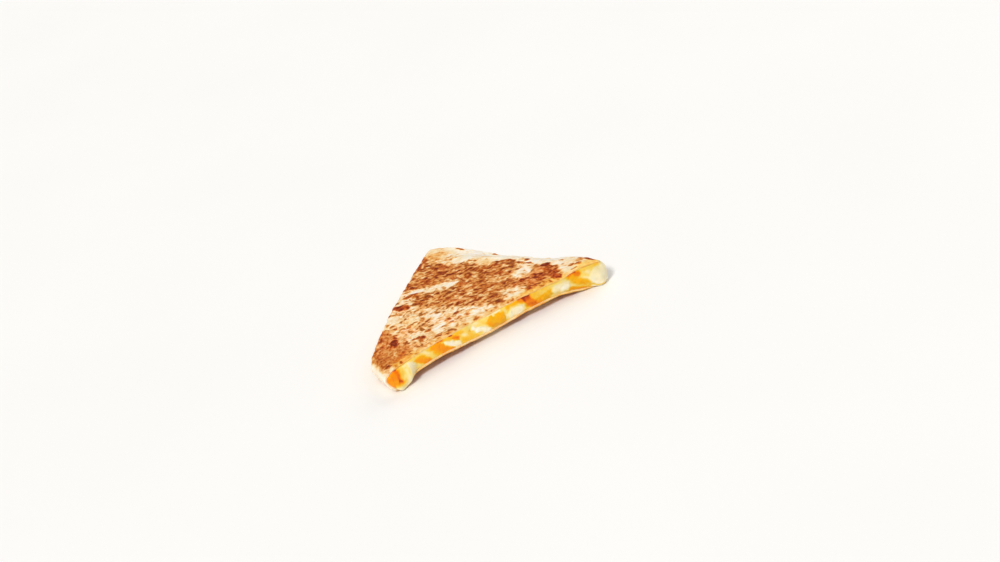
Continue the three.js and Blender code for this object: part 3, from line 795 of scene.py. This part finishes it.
def filling_layer(low, high, share):
    """The filling's points at one share of the way between two levels, without its bulges."""
    t, lean = filling_rows()
    v = columns_across(t, CHEESE_EDGE_STEPS, ACROSS)
    t, lean = (np.broadcast_to(row[:, None], v.shape) for row in (t, lean))
    x, y = np.moveaxis(plan(t, v), -1, 0)
    level = lerp(low(x, y, v), high(x, y, v), share)
    nose_t, nose_z = nose(v, level, CHEESE_INSET)
    end_t = np.full_like(v, NOSE_END)
    line_z = room_height(end_t, v, level, CHEESE_INSET)
    z = np.where(lean > 0, lerp(line_z, nose_z, lean), room_height(t, v, level, CHEESE_INSET))
    inside = np.where(lean > 0, (1 - lean) * (end_t - nose_t), t - nose_t) * RADIUS
    t = np.where(lean > 0, lerp(end_t, nose_t, lean), t)
    grid = np.concatenate([plan(t, v), z[..., None]], -1)
    return grid, t, v, level, inside


def blurred(ring, times):
    for _ in range(times):
        ring = (np.roll(ring, 1, 0) + 2 * ring + np.roll(ring, -1, 0)) / 4
    return ring


def round_corners(ring):
    corners = [bell(from_point(*ring.T, place), 0, 5) for place in (FRONT_CORNER, BACK_CORNER)]
    return lerp(ring, blurred(ring, 10), np.maximum(*corners)[:, None])


def hung(z, turn, round_side, amount, droop):
    """Heights of what bulges out: it swells over the edges and hangs from the lower one."""
    over = OVERLAP * np.clip(amount - 0.8, 0, 3)
    lift = np.sin(turn) * over - droop * (0.5 - 0.5 * np.sin(turn)) * np.clip(amount, 0, 1)
    return np.maximum(z + lift * round_side**0.5, 0.15)


def outward_of(ring, tip):
    """Directions straight out of a ring; at the tip, straight out of the front cut."""
    along = np.roll(ring, -1, 0) - np.roll(ring, 1, 0)
    out = blurred(np.stack([along[:, 1], -along[:, 0]], 1), 4)
    out /= np.maximum(np.linalg.norm(out, axis=1, keepdims=True), 1e-9)
    if np.sum(out * (ring - ring.mean(0))) < 0:
        out = -out
    out = lerp(out, np.array([0.0, -1.0]), tip[:, None])
    return out / np.linalg.norm(out, axis=1, keepdims=True)


def side_masks(t, v, inside):
    """Each point's share in the front cut, in the back cut and in the rim."""
    width = width_at(t)
    on_front = (1 - ease(v * width, 0, CUT_EDGE)) * (inside > -1e-9)
    on_back = 1 - ease((1 - v) * width, 0, CUT_EDGE)
    rim_start = 1 - (RIM_RECESS + CUT_EDGE) / RADIUS
    return on_front, on_back, ease(t, rim_start, 1 - RIM_RECESS / RADIUS)


def front_bulge(x, z, profile):
    """How far the cheese stands out of the front cut, and its tone there."""
    front = sum_of_bells(FRONT_BULGES, x, LEAST_BULGE)
    tone, relief = strokes_at(x, z, front * profile)
    front = front * (1 + 0.2 * fractal(x, z, 6, 411)) + relief
    return np.maximum(front, 0.15), tone


def side_ring(layer, loop):
    """One ring of the filling's side, bulging, with its tone at each point."""
    grid, t, v, level, inside = (part[loop[0], loop[1]] for part in layer)
    x, y, z = grid.T
    on_front, on_back, on_rim = side_masks(t, v, inside)
    from_corner = from_point(x, y, FRONT_CORNER)
    near_corner, joined = bell(from_corner, 0, CORNER_REACH), bell(from_corner, 0, CORNER_JOINT)
    turn = (level - 0.5) * math.pi
    round_side = np.abs(np.cos(turn)) + 1e-9
    profile = round_side**BULGE_POWER
    end = np.sqrt(np.clip(1 - (1 - np.clip(inside / END_RUN, 0, 1)) ** 2, 0, 1))

    front, tone = front_bulge(x, z, profile)
    from_back = np.where(on_back > on_rim, (1 - t) * RADIUS, (1 - v) * width_at(t))
    pools, domes = strokes_at(from_back + BACK_START, z, 0 * z)
    lobes = fractal(x + y, z * 1.4, 7, 431) + 0.4 * fractal(x + y, z * 1.4, 2.6, 433)
    back = np.maximum(BACK_BULGE * (1 + lobes) + domes, 0.1) * end
    rim = RIM_BULGE * (1 + 0.8 * lobes) + domes * (1 - near_corner) + CORNER_OVERFLOW * near_corner
    amount = np.maximum(np.maximum(on_front * (front * end), on_back * back), on_rim * rim)
    amount = lerp(amount, blurred(amount, 8), joined)
    amount = amount + BLOB_LUMPS * near_corner * fractal(x + y, z, 5, 461)

    droop = sum_of_bells(DROOPS, x) * np.maximum(on_front * end, joined)
    droop = droop + np.clip(lobes, 0, 1) * (1 - on_front) * (1 - joined)
    z = hung(z, turn, round_side, amount, droop)
    flat = round_corners(grid[:, :2])
    moved = flat + outward_of(flat, on_front * (x < 100)) * (amount * profile)[:, None]
    side = side_tone(pools, level, white_share(x, y, v))
    blob = strokes_at(np.minimum(moved[:, 0], 131), z, 0 * z)[0]
    side = lerp(side, 0.7 * blob, ease(near_corner, 0.05, 0.5) * on_rim)
    return np.column_stack([moved, z]), lerp(side, tone, 1 - ease(v, 0.0, 0.04))


def make_cheese(name, node, low, high, ring_count, material):
    layers = [filling_layer(low, high, share) for share in np.linspace(1, 0, ring_count + 1)]
    loop_list = loop_of(ALONG, ACROSS)
    loop = np.array(loop_list).T
    rings, tones = zip(*(side_ring(layer, loop) for layer in layers))
    top, bottom = layers[0][0].copy(), layers[-1][0]
    top[loop[0], loop[1]] = rings[0]
    rows, columns = kept_lines(ALONG, 12), kept_lines(ACROSS, 10, 6)
    points, faces = closed_sheet(top, rings[1:], bottom, rows, columns)

    tone = np.full(len(points), INNER_TONE)
    tone[loop[0] * ACROSS + loop[1]] = tones[0]
    sides = np.concatenate(tones[1:])
    tone[ALONG * ACROSS : ALONG * ACROSS + len(sides)] = sides
    piece = make_piece(name, points, faces, {"tone": tone}, material, sharp=70)
    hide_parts(node)


# ---- Materials ----
def linear(red, green, blue):
    """An sRGB colour of 0 to 255 as Blender's linear colour."""
    parts = [c / 255 for c in (red, green, blue)]
    parts = [c / 12.92 if c <= 0.04045 else ((c + 0.055) / 1.055) ** 2.4 for c in parts]
    return (*parts, 1.0)


class Nodes:
    """A short way to write a material's node tree."""

    def __init__(self, name):
        self.material = bpy.data.materials.new(name)
        self.material.use_nodes = True
        self.tree = self.material.node_tree
        self.shader = self.tree.nodes["Principled BSDF"]

    def add(self, kind, inputs=None, **settings):
        node = self.tree.nodes.new(kind)
        for key, value in settings.items():
            setattr(node, key, value)
        for key, value in (inputs or {}).items():
            self.put(node.inputs[key], value)
        return node

    def put(self, socket, value):
        if isinstance(value, bpy.types.NodeSocket):
            self.tree.links.new(value, socket)
        else:
            socket.default_value = value

    def field(self, name):
        return self.add("ShaderNodeAttribute", attribute_name=name).outputs["Fac"]

    def place(self):
        return self.add("ShaderNodeTexCoord").outputs["Object"]

    def noise(self, scale, detail, roughness):
        inputs = {"Vector": self.place(), "Scale": scale, "Detail": detail, "Roughness": roughness}
        return self.add("ShaderNodeTexNoise", inputs).outputs["Fac"]

    def along_the_cut(self):
        return self.add("ShaderNodeSeparateXYZ", {"Vector": self.place()}).outputs["X"]

    def math(self, operation, a, b=0.0, c=0.0, clamp=False):
        values = {0: a, 1: b, 2: c}
        return self.add("ShaderNodeMath", values, operation=operation, use_clamp=clamp).outputs[0]

    def scaled(self, value, factor, plus, clamp=False):
        return self.math("MULTIPLY_ADD", value, factor, plus, clamp)

    def ramp(self, value, stops):
        node = self.add("ShaderNodeValToRGB", {"Fac": value})
        elements = node.color_ramp.elements
        while len(elements) < len(stops):
            elements.new(0.5)
        for element, (place, colour) in zip(elements, stops):
            element.position = place
            element.color = linear(*colour)
        return node.outputs["Color"]

    def mix(self, share, a, b, blend="MIX"):
        node = self.add("ShaderNodeMix", data_type="RGBA", blend_type=blend)
        self.put(node.inputs[0], share)
        self.put(node.inputs[6], a)
        self.put(node.inputs[7], b)
        return node.outputs[2]

    def tinted(self, share, colour, tint):
        return self.mix(share, colour, self.mix(1.0, colour, tint, "MULTIPLY"))

    def bump(self, height, distance, strength, **normal):
        inputs = {"Height": height, "Distance": distance, "Strength": strength, **normal}
        return self.add("ShaderNodeBump", inputs).outputs["Normal"]

    def finish(self, **inputs):
        """Set the shader's inputs, whose names have _ for a space here."""
        for key, value in inputs.items():
            self.put(self.shader.inputs[key.replace("_", " ")], value)
        return self.material


TOAST_COLOURS = [
    (0, (254, 246, 232)), (0.14, (251, 232, 198)), (0.28, (244, 208, 152)),
    (0.42, (231, 174, 104)), (0.56, (212, 134, 60)), (0.7, (184, 95, 28)),
    (0.85, (148, 58, 8)), (1, (110, 34, 3)),
]


def toast_colour(n, fine):
    """The toasting and its colour, uneven by two finer noises."""
    shift = n.scaled(fine, 0.66, -0.33)
    shift = n.scaled(n.noise(4200, 2, 0.6), 0.3, n.math("ADD", shift, -0.15))
    weight = n.math("MINIMUM", n.scaled(n.field("toast"), 0.9, 0.16), 0.7)
    toast = n.math("ADD", n.field("toast"), n.math("MULTIPLY", shift, weight), clamp=True)
    return toast, n.ramp(toast, TOAST_COLOURS)


def tortilla_material():
    n = Nodes("toasted_tortilla")
    fine = n.noise(1400, 4, 0.65)
    toast, colour = toast_colour(n, fine)
    hue, grease = n.field("hue"), n.field("grease")
    untoasted = n.scaled(toast, -2.2, 1.1, clamp=True)
    cool = n.scaled(hue, -1.7, 0.85, clamp=True)
    colour = n.mix(n.math("MULTIPLY", cool, untoasted), colour, linear(243, 238, 228))
    olive = n.math("MULTIPLY", n.scaled(toast, 3.0, -1.3, clamp=True), 0.6)
    colour = n.mix(n.math("MULTIPLY", cool, olive), colour, linear(166, 116, 50))
    colour = n.tinted(n.scaled(hue, 2.0, -1.0, clamp=True), colour, linear(255, 216, 196))
    colour = n.tinted(n.math("MULTIPLY", grease, 0.85), colour, linear(251, 216, 98))
    coarse = n.bump(n.noise(700, 3, 0.6), 0.0005, 0.6)
    return n.finish(
        Base_Color=colour,
        Roughness=n.scaled(fine, 0.2, n.scaled(grease, -0.22, 0.62)),
        Specular_IOR_Level=0.14,
        Subsurface_Weight=0.12,
        Subsurface_Radius=(1.0, 0.6, 0.35),
        Subsurface_Scale=0.0012,
        Normal=n.bump(fine, 0.00022, 0.7, Normal=coarse),
    )


CHEESE_COLOURS = [
    (0, (253, 243, 216)), (0.14, (250, 232, 182)), (0.3, (249, 216, 112)),
    (0.44, (249, 196, 62)), (0.56, (250, 180, 4)), (0.66, (250, 158, 2)),
    (0.78, (246, 130, 2)), (0.88, (222, 92, 4)), (1, (148, 42, 4)),
]
DULLER_TO_THE_RIM = 13.0  # for each metre from the middle


def cheese_material(name):
    n = Nodes(name)
    shift = n.scaled(n.noise(260, 3, 0.55), 0.14, -0.07)
    tone = n.math("ADD", n.field("tone"), shift, clamp=True)
    dull = n.scaled(tone, 0.6, n.scaled(n.noise(150, 2, 0.5), 3.0, -1.65))
    dull = n.scaled(n.along_the_cut(), DULLER_TO_THE_RIM, dull, clamp=True)
    soft = n.bump(n.noise(420, 3, 0.5), 0.0005, 0.45)
    return n.finish(
        Base_Color=n.tinted(dull, n.ramp(tone, CHEESE_COLOURS), linear(234, 236, 232)),
        Roughness=n.scaled(n.noise(900, 2, 0.5), 0.22, 0.2),
        Specular_IOR_Level=0.17,
        Coat_Weight=0.04,
        Coat_Roughness=0.15,
        Subsurface_Weight=0.2,
        Subsurface_Radius=(1.0, 0.7, 0.3),
        Subsurface_Scale=0.0012,
        Normal=n.bump(n.noise(2200, 2, 0.5), 0.0001, 0.4, Normal=soft),
    )


def floor_material():
    n = Nodes("pale_floor")
    tint = n.mix(n.noise(6, 2, 0.5), linear(250, 249, 247), linear(246, 245, 243))
    return n.finish(Base_Color=tint, Roughness=0.8)


# ---- Camera, lights and floor ----
LENS = 70.0
CAMERA_AZIMUTH, CAMERA_ELEVATION, CAMERA_ROLL = -23.0, 26.8, -16.7
WEDGE_IN_VIEW = np.array([-51.9, -56.9, -973.0])  # its origin as the camera sees it


def place_camera():
    a, e, r = map(math.radians, (CAMERA_AZIMUTH, CAMERA_ELEVATION, CAMERA_ROLL))
    back = Vector((math.sin(a) * math.cos(e), -math.cos(a) * math.cos(e), math.sin(e)))
    right = Vector((math.cos(a), math.sin(a), 0))
    up = back.cross(right)
    level = Matrix((right, up, back))
    turned = Matrix.Rotation(-r, 3, "Z") @ level
    place = Vector((-(turned.transposed() @ Vector(WEDGE_IN_VIEW))) - Vector(CENTRE)) * MM
    camera = add_object("camera", bpy.data.cameras.new("camera"))
    camera.data.lens = LENS
    camera.data.sensor_width = 36
    camera.data.clip_start = 0.01
    camera.matrix_world = Matrix.Translation(place) @ turned.transposed().to_4x4()
    bpy.context.scene.camera = camera


def add_floor(material):
    side, level = 3.0, -0.00005
    mesh = bpy.data.meshes.new("floor")
    corners = [(-side, -side), (side, -side), (side, side), (-side, side)]
    mesh.from_pydata([(x, y, level) for x, y in corners], [], [(0, 1, 2, 3)])
    mesh.materials.append(material)
    floor = add_object("floor", mesh)


# Toward the light, its strength, and its width in degrees.
SUNS = [((-0.55, -0.5, 0.72), 2.1, 14), ((0.7, 0.35, 0.6), 0.75, 50)]
SKY = 0.45


def light_the_scene():
    world = bpy.data.worlds.new("studio")
    world.use_nodes = True
    background = world.node_tree.nodes["Background"]
    background.inputs["Color"].default_value = (1, 1, 1, 1)
    background.inputs["Strength"].default_value = SKY
    bpy.context.scene.world = world
    for k, (toward, strength, width) in enumerate(SUNS):
        sun = bpy.data.lights.new(f"sun_{k}", "SUN")
        sun.energy = strength
        sun.angle = math.radians(width)
        sun.color = (1.0, 0.985, 0.96)
        light = add_object(sun.name, sun)
        light.matrix_world = (-Vector(toward)).to_track_quat("-Z", "Y").to_matrix().to_4x4()


place_camera()
light_the_scene()
add_floor(floor_material())
bpy.context.scene.view_settings.view_transform = "Standard"

make_tortilla(tortilla_material())
yellow, white = cheese_material("melted_yellow"), cheese_material("melted_white")
make_cheese("yellow_layer", "yellow_cheese", white_share, lambda x, y, v: np.ones_like(x), 26, yellow)
make_cheese("white_layer", "white_cheese", lambda x, y, v: np.zeros_like(x), white_share, 22, white)
